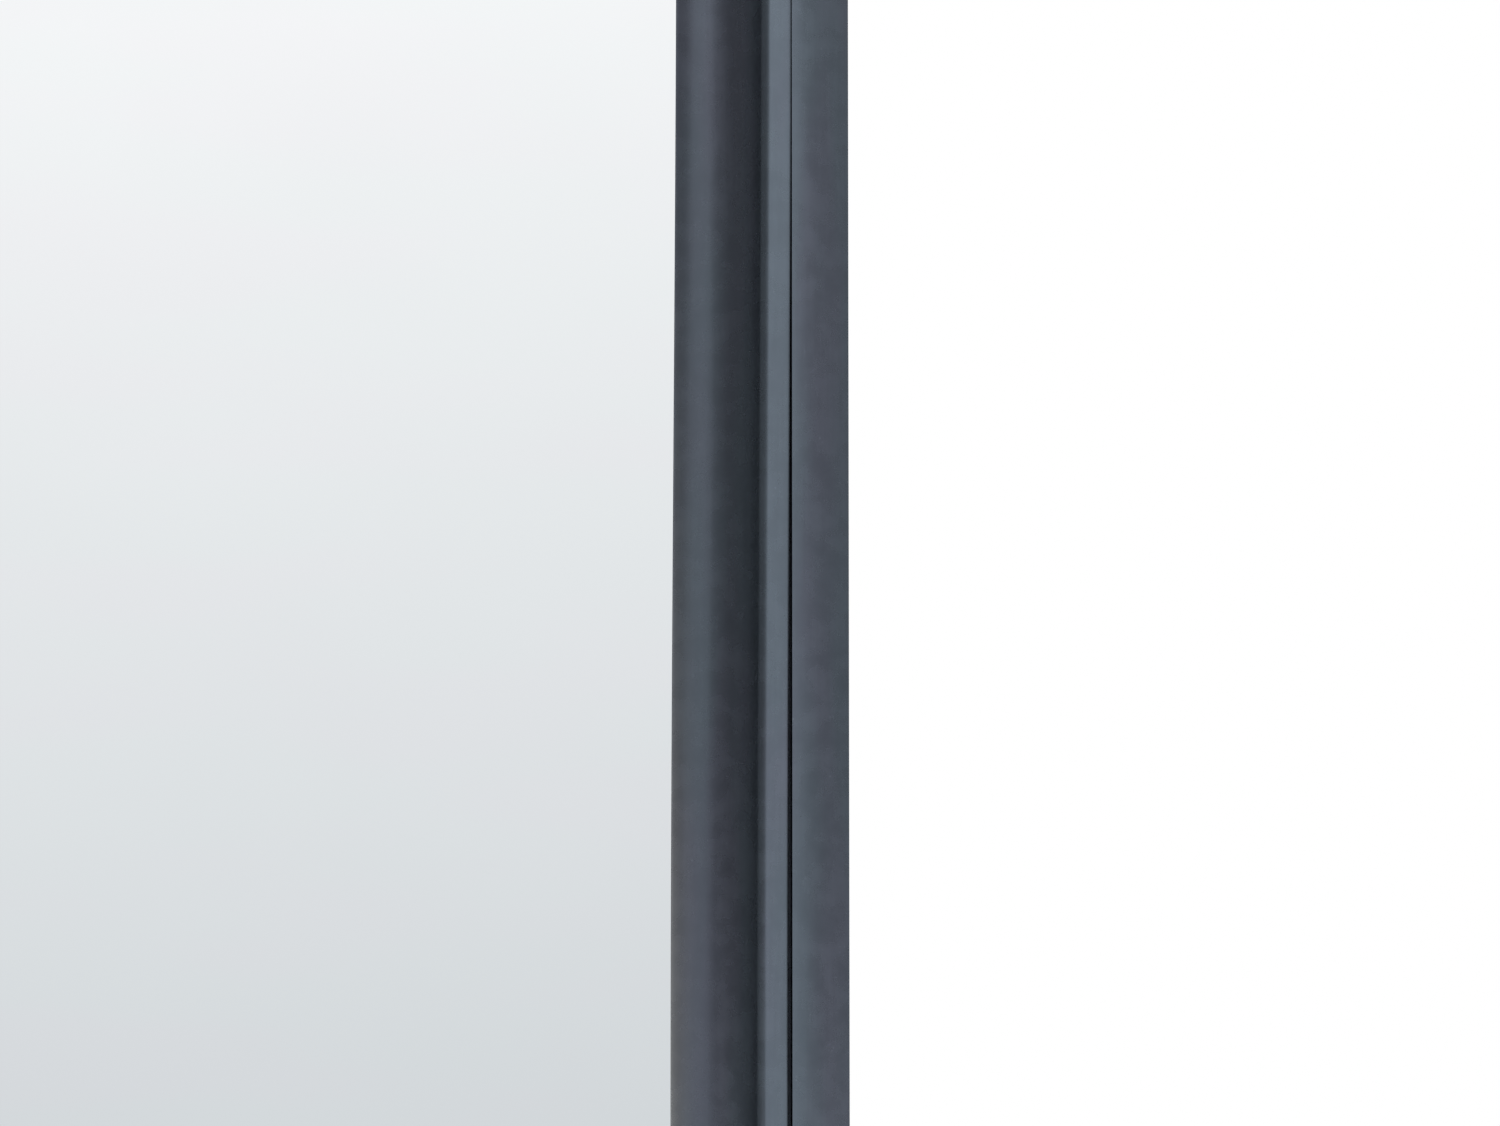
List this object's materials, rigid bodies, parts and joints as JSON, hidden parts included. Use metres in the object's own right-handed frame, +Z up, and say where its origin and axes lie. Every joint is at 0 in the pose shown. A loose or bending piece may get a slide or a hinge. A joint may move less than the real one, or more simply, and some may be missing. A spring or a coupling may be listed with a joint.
{
  "type": "pull out closet mirror",
  "caption": "Tall framed mirror leaf hung on a slim post that pulls out of a closet on ball-bearing slides and swings forward to face the user.",
  "frame": {"origin": "middle of the lower slide's mounting face, on the closet's side panel", "axes": "+X the way the mirror pulls out, +Y into the closet's side panel, +Z up; the mirror faces -Y at rest"},
  "size_m": [0.356, 0.0492, 1.218],
  "materials": {
    "slate_frame": "satin slate, fine vertical grain",
    "mirror": "silvered clear glass",
    "backing_board": "dark faced hardboard",
    "black_rubber": "matt black rubber",
    "zinc_steel": "bright zinc plating",
    "screw_steel": "zinc plated",
    "polished_steel": "ground steel",
    "dark_steel": "dark slate powder coat",
    "cast_cleat": "raw die-cast zinc",
    "black_nylon": "moulded nylon"
  },
  "bodies": {
    "panel_side": {"lower_outer_member": "zinc_steel", "upper_outer_member": "zinc_steel", "lower_rear_bumper": "black_rubber", "upper_rear_bumper": "black_rubber"},
    "outer_cages": {"lower_outer_ball_cage": "polished_steel", "upper_outer_ball_cage": "polished_steel"},
    "middle_members": {"lower_middle_member": "zinc_steel", "upper_middle_member": "zinc_steel"},
    "inner_cages": {"lower_inner_ball_cage": "polished_steel", "upper_inner_ball_cage": "polished_steel"},
    "carriage": {"lower_inner_member": "zinc_steel", "upper_inner_member": "zinc_steel", "lower_slide_bracket": "dark_steel", "upper_slide_bracket": "dark_steel", "tie_rail": "dark_steel", "carrier_post": "slate_frame", "top_pivot_bracket": "dark_steel", "bottom_pivot_bracket": "dark_steel", "top_pivot_pin": "polished_steel", "bottom_pivot_pin": "polished_steel", "top_bracket_screw": "screw_steel", "bottom_bracket_screw": "screw_steel", "lower_slide_screw_1": "screw_steel", "lower_slide_screw_2": "screw_steel", "upper_slide_screw_1": "screw_steel", "upper_slide_screw_2": "screw_steel", "lower_tie_screw_1": "screw_steel", "lower_tie_screw_2": "screw_steel", "upper_tie_screw_1": "screw_steel", "upper_tie_screw_2": "screw_steel", "lower_post_screw_1": "screw_steel", "lower_post_screw_2": "screw_steel", "upper_post_screw_1": "screw_steel", "upper_post_screw_2": "screw_steel", "lower_catch_magnet": "dark_steel", "upper_catch_magnet": "dark_steel"},
    "leaf": {"left_stile": "slate_frame", "right_stile": "slate_frame", "top_rail": "slate_frame", "bottom_rail": "slate_frame", "top_left_corner_cleat": "cast_cleat", "top_right_corner_cleat": "cast_cleat", "bottom_left_corner_cleat": "cast_cleat", "bottom_right_corner_cleat": "cast_cleat", "mirror_glass": "mirror", "backing_board": "backing_board", "glazing_seal": "black_rubber", "top_pivot_plate": "dark_steel", "bottom_pivot_plate": "dark_steel", "top_pivot_bushing": "black_nylon", "bottom_pivot_bushing": "black_nylon", "top_plate_screw_1": "screw_steel", "top_plate_screw_2": "screw_steel", "bottom_plate_screw_1": "screw_steel", "bottom_plate_screw_2": "screw_steel", "lower_strike_plate": "zinc_steel", "upper_strike_plate": "zinc_steel", "lower_strike_screw": "screw_steel", "upper_strike_screw": "screw_steel"}
  },
  "joints": [
    {"name": "carriage_slide", "type": "slide", "parent": "panel_side", "child": "carriage", "axis": [1, 0, 0], "range_m": [0, 0.35]},
    {"name": "middle_slide", "type": "slide", "parent": "panel_side", "child": "middle_members", "axis": [1, 0, 0], "range_m": [0, 0.175]},
    {"name": "outer_cage_slide", "type": "slide", "parent": "panel_side", "child": "outer_cages", "axis": [1, 0, 0], "range_m": [0, 0.0875]},
    {"name": "inner_cage_slide", "type": "slide", "parent": "panel_side", "child": "inner_cages", "axis": [1, 0, 0], "range_m": [0, 0.2625]},
    {"name": "leaf_hinge", "type": "hinge", "parent": "carriage", "child": "leaf", "pos_m": [0.1659, -0.04273, 0.3], "axis": [0, 0, 1], "range_deg": [0, 110]}
  ],
  "couplings": [
    {"joint": "middle_slide", "follows": "carriage_slide", "ratio": 0.5},
    {"joint": "outer_cage_slide", "follows": "carriage_slide", "ratio": 0.25},
    {"joint": "inner_cage_slide", "follows": "carriage_slide", "ratio": 0.75}
  ]
}
